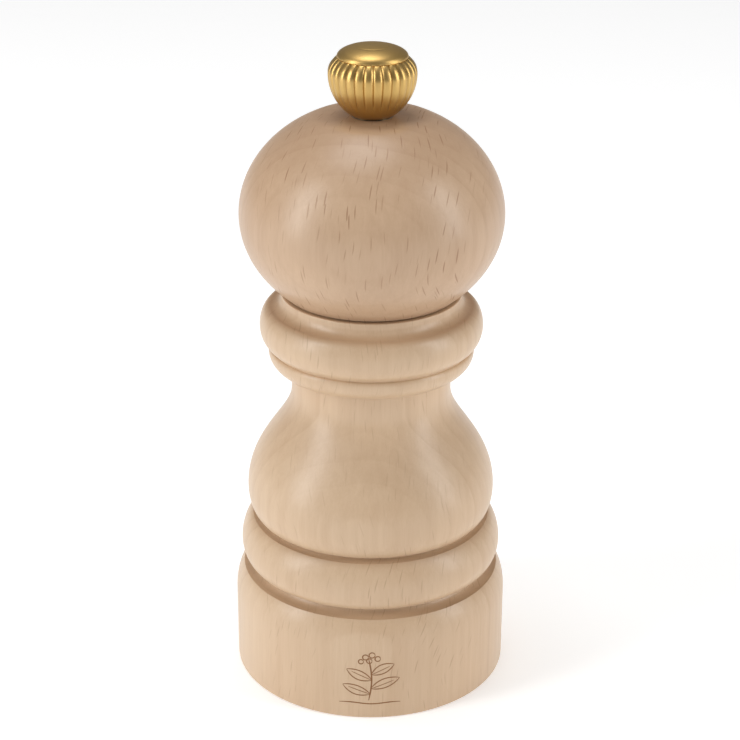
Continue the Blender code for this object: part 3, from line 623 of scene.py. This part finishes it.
shaftShape = {
    "half": 2.2, "reach": 2.9, "rivet": ((2.2, 0), (2.9, 0.22), (3.25, 0.6), (3.3, 0.98)),
    "squareRows": (1.02, 1.1), "taper": 1.2, "taperRows": 4,
    "thread": 2.0, "threadRoot": 1.6, "pitch": 0.7, "threadLength": 9.9, "threadFade": 0.5,
    "threadStep": 0.06, "threadInset": (0.03, 0.02), "tip": ((1.5, -0.01), (1.2, 0), (0.3, 0)),
    "columns": 64,
}


def makeShaft(steel):
    # The thread's radius is root + depth * (1 - |2 p - 1|) sharpened, p = height / pitch - angle / turn.
    s = shaftShape
    low, high = levels("shaft")
    angles = fullTurn(s["columns"])
    start = high - s["threadLength"]
    square = squareRadius(angles, s["half"], s["reach"])
    squares = np.array([low + s["squareRows"][0], low + s["squareRows"][1], start - s["taper"]])
    bar = rings(np.vstack([square, square, square]), squares[:, None], angles)
    shares = np.linspace(0, 1, s["taperRows"] + 1)[1:, None]
    narrowed = square * (1 - shares) + s["threadRoot"] * shares
    taper = rings(narrowed, start - s["taper"] * (1 - shares), angles)
    first, last = s["threadInset"]
    heights = np.arange(start + first, high - last, s["threadStep"])[:, None]
    phase = (heights / s["pitch"] - angles / tau) % 1.0
    ridge = np.clip(1.25 * (1 - np.abs(2 * phase - 1)) - 0.1, 0, 1)
    fade = np.clip((heights - start) / s["threadFade"], 0, 1)
    fade = fade * np.clip((high - heights) / s["threadFade"], 0, 1)
    thread = rings(s["threadRoot"] + (s["thread"] - s["threadRoot"]) * ridge * fade, heights, angles)
    rivet = turned(np.array(s["rivet"]) + (0, low), angles)
    tip = turned(np.array(s["tip"]) + (0, high), angles)
    points = np.concatenate([rivet, bar, taper, thread, tip])
    skin("threaded_shaft", points, False, True, steel, "shaft", "shaft")


grinder = {
    "rotorWide": 9.55, "rotorEdge": (0.1, 0.15), "rotorFine": 9.25, "crown": 4.9,
    "fineHeight": 3.6, "fineStep": (0.5, 0.6), "fineTeeth": 32, "fineDepth": 0.55, "fineFade": 1.2,
    "crushers": 8, "crusherDepth": 1.5, "crusherRise": (0.8, 1.6), "crusherFall": 2.4, "crusherLeast": 0.12,
    "twist": 38.0, "hole": 2.45, "holeReach": 3.15,
    "ringOuter": 15.2, "ringEdge": 0.3, "ringBottom": 10.8, "ringTop": 9.7, "mouth": 1.2,
    "ringTeeth": 40, "ringDepth": 0.6, "ringTwist": 30.0, "ringRows": 24, "columns": 320,
}


def sawtooth(turns):  # rises from 0 to 1 over four fifths of each turn, and falls over the last fifth
    share = turns % 1.0
    return np.where(share < 0.8, share / 0.8, (1 - share) / 0.2)


def makeRotor(steel):
    # Radius = the cone's radius less two sawtooth terms: fine teeth at the skirt, coarse spiral flutes
    # above.
    s = grinder
    low, high = levels("rotor")
    angles = fullTurn(s["columns"])
    height = high - low
    fineHeight = s["fineHeight"]
    inset, rise = s["rotorEdge"]
    step, drop = s["fineStep"]
    z = np.concatenate([
        [0, rise], np.linspace(0.5, fineHeight, 8), np.linspace(fineHeight, height, 26)[1:],
    ])
    heights = [0, rise, fineHeight, fineHeight + drop, height]
    radii = [s["rotorWide"] - inset, s["rotorWide"], s["rotorFine"], s["rotorFine"] - step, s["crown"]]
    cone = np.interp(z, heights, radii)
    turn = angles / tau + z[:, None] / height * s["twist"] / 360
    fine = np.clip(1 - (z - fineHeight) / s["fineFade"], 0, 1)[:, None]
    fine = fine * s["fineDepth"] * sawtooth(turn * s["fineTeeth"])
    before, over = s["crusherRise"]
    above = np.clip((z - fineHeight + before) / over, 0, 1)
    above = above * np.clip((height - z) / s["crusherFall"], s["crusherLeast"], 1)
    coarse = above[:, None] * s["crusherDepth"] * sawtooth(turn * s["crushers"])
    outer = rings(cone[:, None] - fine - coarse, low + z[:, None], angles)
    hole = squareRadius(angles, s["hole"], s["holeReach"])
    bore = rings(np.vstack([hole, hole]), np.array([[high], [low]]), angles)
    points = np.concatenate([outer, bore])
    skin("fluted_rotor", points, True, False, steel, "shaft", "rotor", 25)


def makeRing(steel):
    # Radius = the bore's radius less a sawtooth; the mouth opens as a cone.
    s = grinder
    low, high = levels("grinding_ring")
    angles = fullTurn(s["columns"])
    outer, edge = s["ringOuter"], s["ringEdge"]
    side = np.array([
        (outer - edge, low), (outer, low + edge), (outer, high - edge), (outer - edge, high),
        (s["ringTop"] + s["mouth"], high),
    ])
    z = np.linspace(high - s["mouth"], low, s["ringRows"])[:, None]
    bore = np.interp(z, [low, high], [s["ringBottom"], s["ringTop"]])
    turn = angles / tau - (z - low) / (high - low) * s["ringTwist"] / 360
    teeth = rings(bore - s["ringDepth"] * sawtooth(turn * s["ringTeeth"]), z, angles)
    points = np.concatenate([turned(side, angles), teeth])
    skin("toothed_ring", points, True, False, steel, "body", "grinding_ring", 25)


def plateOutline(inner, outer, low, high, edge):  # an annulus with its four corners broken by edge
    return np.array([
        (inner, low + edge), (inner + edge, low), (outer - edge, low), (outer, low + edge),
        (outer, high - edge), (outer - edge, high), (inner + edge, high), (inner, high - edge),
    ])


plateShape = {
    "turned": (  # node, body, bore radius, broken edge
        ("retaining_plate", "body", 11.3, 0.15),
        ("rotor_washer", "shaft", 3.15, 0.08),
        ("top_washer", "head", 2.4, 0.1),
    ),
    "keyed": (("drive_plate", "head"), ("spring_seat", "spring_seat")),
    "keyedEdge": 0.12, "hole": 2.45, "holeReach": 3.15, "columns": 128, "keyedColumns": 160,
}
bushShape = {
    "bore": 3.3, "barrel": 4.3, "flange": 5.4, "flangeHeight": 0.8, "edge": 0.1, "chamfer": 0.3,
    "columns": 96,
}


def makeTurnedPlates(steel):
    for node, body, inner, edge in plateShape["turned"]:
        low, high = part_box(node)
        outline = plateOutline(inner, high[0] / mm, low[2] / mm, high[2] / mm, edge)
        points = turned(outline, fullTurn(plateShape["columns"]))
        skin(f"{node}_edged", points, True, False, steel, body, node)


def makeKeyedPlates(steel):  # round plates whose hole is a square, turned down at its corners
    angles = fullTurn(plateShape["keyedColumns"])
    hole = squareRadius(angles, plateShape["hole"], plateShape["holeReach"])
    for node, body in plateShape["keyed"]:
        low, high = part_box(node)
        outline = plateOutline(0, high[0] / mm, low[2] / mm, high[2] / mm, plateShape["keyedEdge"])
        bore = rings(np.vstack([hole, hole]), np.array([[high[2]], [low[2]]]) / mm, angles)
        points = np.concatenate([turned(outline[2:6], angles), bore])
        skin(f"{node}_keyed", points, True, False, steel, body, node)


def makeBush(nylon):
    s = bushShape
    low, high = levels("guide_bush")
    bore, barrel, flange, edge = s["bore"], s["barrel"], s["flange"], s["edge"]
    ledge = low + s["flangeHeight"]
    outline = np.array([
        (bore, low), (flange - edge / 2, low), (flange, low + edge), (flange, ledge - edge),
        (flange - edge, ledge), (barrel, ledge), (barrel, high - s["chamfer"]),
        (barrel - s["chamfer"], high), (bore, high),
    ])
    points = turned(outline, fullTurn(s["columns"]))
    skin("moulded_bush", points, True, False, nylon, "body", "guide_bush")


springShape = {"radius": 3.85, "wire": 0.45, "turns": 6, "closedPitch": 1.02, "perTurn": 56, "sides": 14}


def makeSpring(steel):
    # Centre line: radius fixed, angle 2 pi t, height = closed pitch over the two end turns and an even
    # pitch between. The wire's section is centre + wire * (cos b outwards + sin b upwards).
    s = springShape
    low, high = levels("spring")
    turns = np.linspace(0, s["turns"], s["turns"] * s["perTurn"] + 1)
    free = (high - low - 2 * s["wire"] - 2 * s["closedPitch"]) / (s["turns"] - 2)
    closed = np.minimum(turns, 1) + np.maximum(turns - (s["turns"] - 1), 0)
    height = low + s["wire"] + s["closedPitch"] * closed + free * (turns - closed)
    angle = tau * turns[:, None]
    section = fullTurn(s["sides"])
    radius = s["radius"] + s["wire"] * np.cos(section)
    points = rings(radius, height[:, None] + s["wire"] * np.sin(section), angle)
    skin("coiled_spring", points, False, True, steel, "spring_seat", "spring", 60)


screwShape = {
    "screws": (  # node, body, shank radius
        ("retaining_screw_1", "body", 0.9), ("retaining_screw_2", "body", 0.9),
        ("retaining_screw_3", "body", 0.9),
        ("drive_plate_screw_1", "head", 0.8), ("drive_plate_screw_2", "head", 0.8),
    ),
    "slot": 0.26, "slotReach": 0.62, "slotDepth": 0.55, "slotWall": 0.09, "slotEnd": 0.12,
    "headHeight": 0.9, "centre": 0.03, "tip": 0.05, "headRows": 30, "columns": 96,
}


def makeScrews(steel):
    # Head: a dome, pushed in by the slot depth where either |x| or |y| is under the slot's half width and
    # the radius is inside the recess. Shank: a cylinder with a point.
    s = screwShape
    angles = fullTurn(s["columns"])
    for node, body, shank in s["screws"]:
        low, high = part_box(node)
        centre = (np.array(low) + np.array(high)) / 2 / mm
        radius = (high[0] - low[0]) / 2 / mm
        bottom, tip = low[2] / mm, high[2] / mm
        seat = bottom + s["headHeight"]
        r = np.linspace(s["centre"], 1, s["headRows"])[:, None] * radius
        dome = seat - s["headHeight"] * np.sqrt(np.clip(1 - (r / radius) ** 4 * 0.85, 0, 1))
        arm = np.minimum(np.abs(r * np.cos(angles)), np.abs(r * np.sin(angles)))
        wall = np.clip((s["slot"] - arm) / s["slotWall"], 0, 1)
        wall = wall * np.clip((radius * s["slotReach"] - r) / s["slotEnd"], 0, 1)
        sunk = s["slotDepth"] * wall * (1 - 0.5 * r / radius)
        head = rings(r + 0 * angles, dome + sunk, angles)
        stem = np.array([(radius, seat), (shank, seat), (shank, tip - 2 * shank), (s["tip"], tip)])
        points = np.concatenate([head, turned(stem, angles)])
        points[:, :, :2] += centre[:2]
        skin(f"{node}_crossed", points, False, True, steel, body, node, 35)


sprig = {  # millimetres from the motif's middle
    "line": 0.26, "height": 8.5, "lift": 0.012, "size": 1.1,
    "stem": (-4.2, 8.2), "sway": 0.5, "shift": -0.2,
    "leaves": (  # side, share of the stem, length, rise
        (-1, 0.16, 4.6, 1.7), (1, 0.30, 4.8, 1.9), (-1, 0.50, 4.2, 2.0), (1, 0.64, 3.8, 1.9),
    ),
    "bows": (0.95, -0.75), "vein": 0.8,
    "berries": (  # across, up, radius
        (0.35, 4.6, 0.5), (-0.75, 4.2, 0.48), (1.3, 3.9, 0.46), (-0.1, 3.5, 0.45), (-1.5, 3.35, 0.42),
    ),
    "ground": (5.2, -4.75, 0.12),  # half length, height, waver
    "weights": {"stem": 1.0, "leaf": 0.8, "vein": 0.55, "berry": 0.8, "ground": 0.9},
    "taper": 0.55,  # share of a line's width that is lost at its ends
}


def strokes():  # centre lines across and up from the motif's middle, each with its share of the line width
    s, lines = sprig, []
    weights = s["weights"]
    t = np.linspace(0, 1, 40)
    stem = np.column_stack([s["sway"] * np.sin(t * 3.2) + s["shift"], s["stem"][0] + s["stem"][1] * t])
    lines.append((stem, weights["stem"]))
    for side, at, length, rise in s["leaves"]:
        root = stem[int(at * (len(t) - 1))]
        run = np.array([side * length, rise])
        across = np.array([-run[1], run[0]]) / np.linalg.norm(run)
        for bow in s["bows"]:  # a leaf is two bowed lines and a vein
            arch = (bow * np.sin(t * np.pi) ** 0.8)[:, None]
            lines.append((root + run * t[:, None] + across * arch, weights["leaf"]))
        lines.append((root + run * (t[:, None] * s["vein"]), weights["vein"]))
    turn = np.linspace(0, tau, 33)
    for x, y, size in s["berries"]:
        berry = np.column_stack([x + size * np.cos(turn), y + size * np.sin(turn)])
        lines.append((berry, weights["berry"]))
    half, height, waver = s["ground"]
    wave = height + waver * np.sin(np.linspace(0, 9, 60))
    lines.append((np.column_stack([np.linspace(-half, half, 60), wave]), weights["ground"]))
    return lines


def makeSprig(ink):
    # Each stroke is a flat ribbon: its centre line offset by half its width to either side, tapered at both
    # ends, then wrapped on the foot: (r sin(s / r), -r cos(s / r), z).
    vertices, faces, base = [], [], 0
    radius = bodyShape["foot"] + sprig["lift"]
    for line, width in strokes():
        ahead = np.gradient(line, axis=0)
        ahead = ahead / np.linalg.norm(ahead, axis=1)[:, None]
        across = np.column_stack([-ahead[:, 1], ahead[:, 0]])
        share = np.linspace(0, 1, len(line))
        full = np.minimum(1, 6 * np.minimum(share, 1 - share))
        taper = 1 - sprig["taper"] + sprig["taper"] * full
        half = (sprig["line"] * width / 2 * taper)[:, None]
        flat = np.concatenate([line - across * half, line + across * half]) * sprig["size"]
        s, z = flat[:, 0], flat[:, 1] + sprig["height"]
        vertices.append(np.column_stack([radius * np.sin(s / radius), -radius * np.cos(s / radius), z]))
        n = len(line)
        i = base + np.arange(n - 1)
        faces += np.column_stack([i, i + 1, i + 1 + n, i + n]).tolist()
        base += 2 * n
    mesh = bpy.data.meshes.new("printed_sprig")
    mesh.from_pydata((np.vstack(vertices) * mm).tolist(), [], faces)
    mesh.materials.append(ink)
    normals = np.zeros(len(mesh.polygons) * 3)
    mesh.polygons.foreach_get("normal", normals)
    if normals.reshape(-1, 3)[:, 1].mean() > 0:
        mesh.flip_normals()
    mesh.shade_smooth()
    piece = bpy.data.objects.new("printed_sprig", mesh)
    bpy.context.scene.collection.objects.link(piece)
    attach(piece, "body")


def makeFloor():
    half = studio["floorHalf"]
    mesh = bpy.data.meshes.new("floor")
    corners = [(-half, -half, 0), (half, -half, 0), (half, half, 0), (-half, half, 0)]
    mesh.from_pydata(corners, [], [(0, 1, 2, 3)])
    colour = (*studio["floorColour"], 1.0)
    finish = Finish("floor_paint", Base_Color=colour, Roughness=0.7, Specular_IOR_Level=0.2)
    finish.wear(Emission_Color=(1, 1, 1, 1), Emission_Strength=studio["floorGlow"])
    mesh.materials.append(finish.material)
    floor = bpy.data.objects.new("floor", mesh)
    bpy.context.scene.collection.objects.link(floor)


def main():
    print("studio")
    setStudio()
    setLamps()
    makeFloor()
    print("wood")
    makeBody(beechFinish("beech_body", beech["body"], beech["bodyFlecks"]))
    makeHead(beechFinish("beech_head", beech["head"], beech["headFlecks"]))
    makeSprig(plainFinish("scorched_print", Specular_IOR_Level=0.3))
    print("knob")
    rim = levels("knob")[0] + knobShape["below"] + knobShape["flutedAbove"] + knobShape["rimAbove"]
    makeKnob(brassFinish("satin_brass", rim * mm))
    print("mechanism")
    zinc = steelFinish("zinc_plate")
    hard = steelFinish("hardened_steel")
    makeShaft(zinc)
    makeRotor(hard)
    makeRing(hard)
    makeTurnedPlates(zinc)
    makeBush(plainFinish("nylon_moulded", IOR=1.53))
    makeKeyedPlates(zinc)
    makeSpring(zinc)
    makeScrews(zinc)
    for node in ("yoke", "knob_insert"):
        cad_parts[node].data.materials[0] = zinc


main()
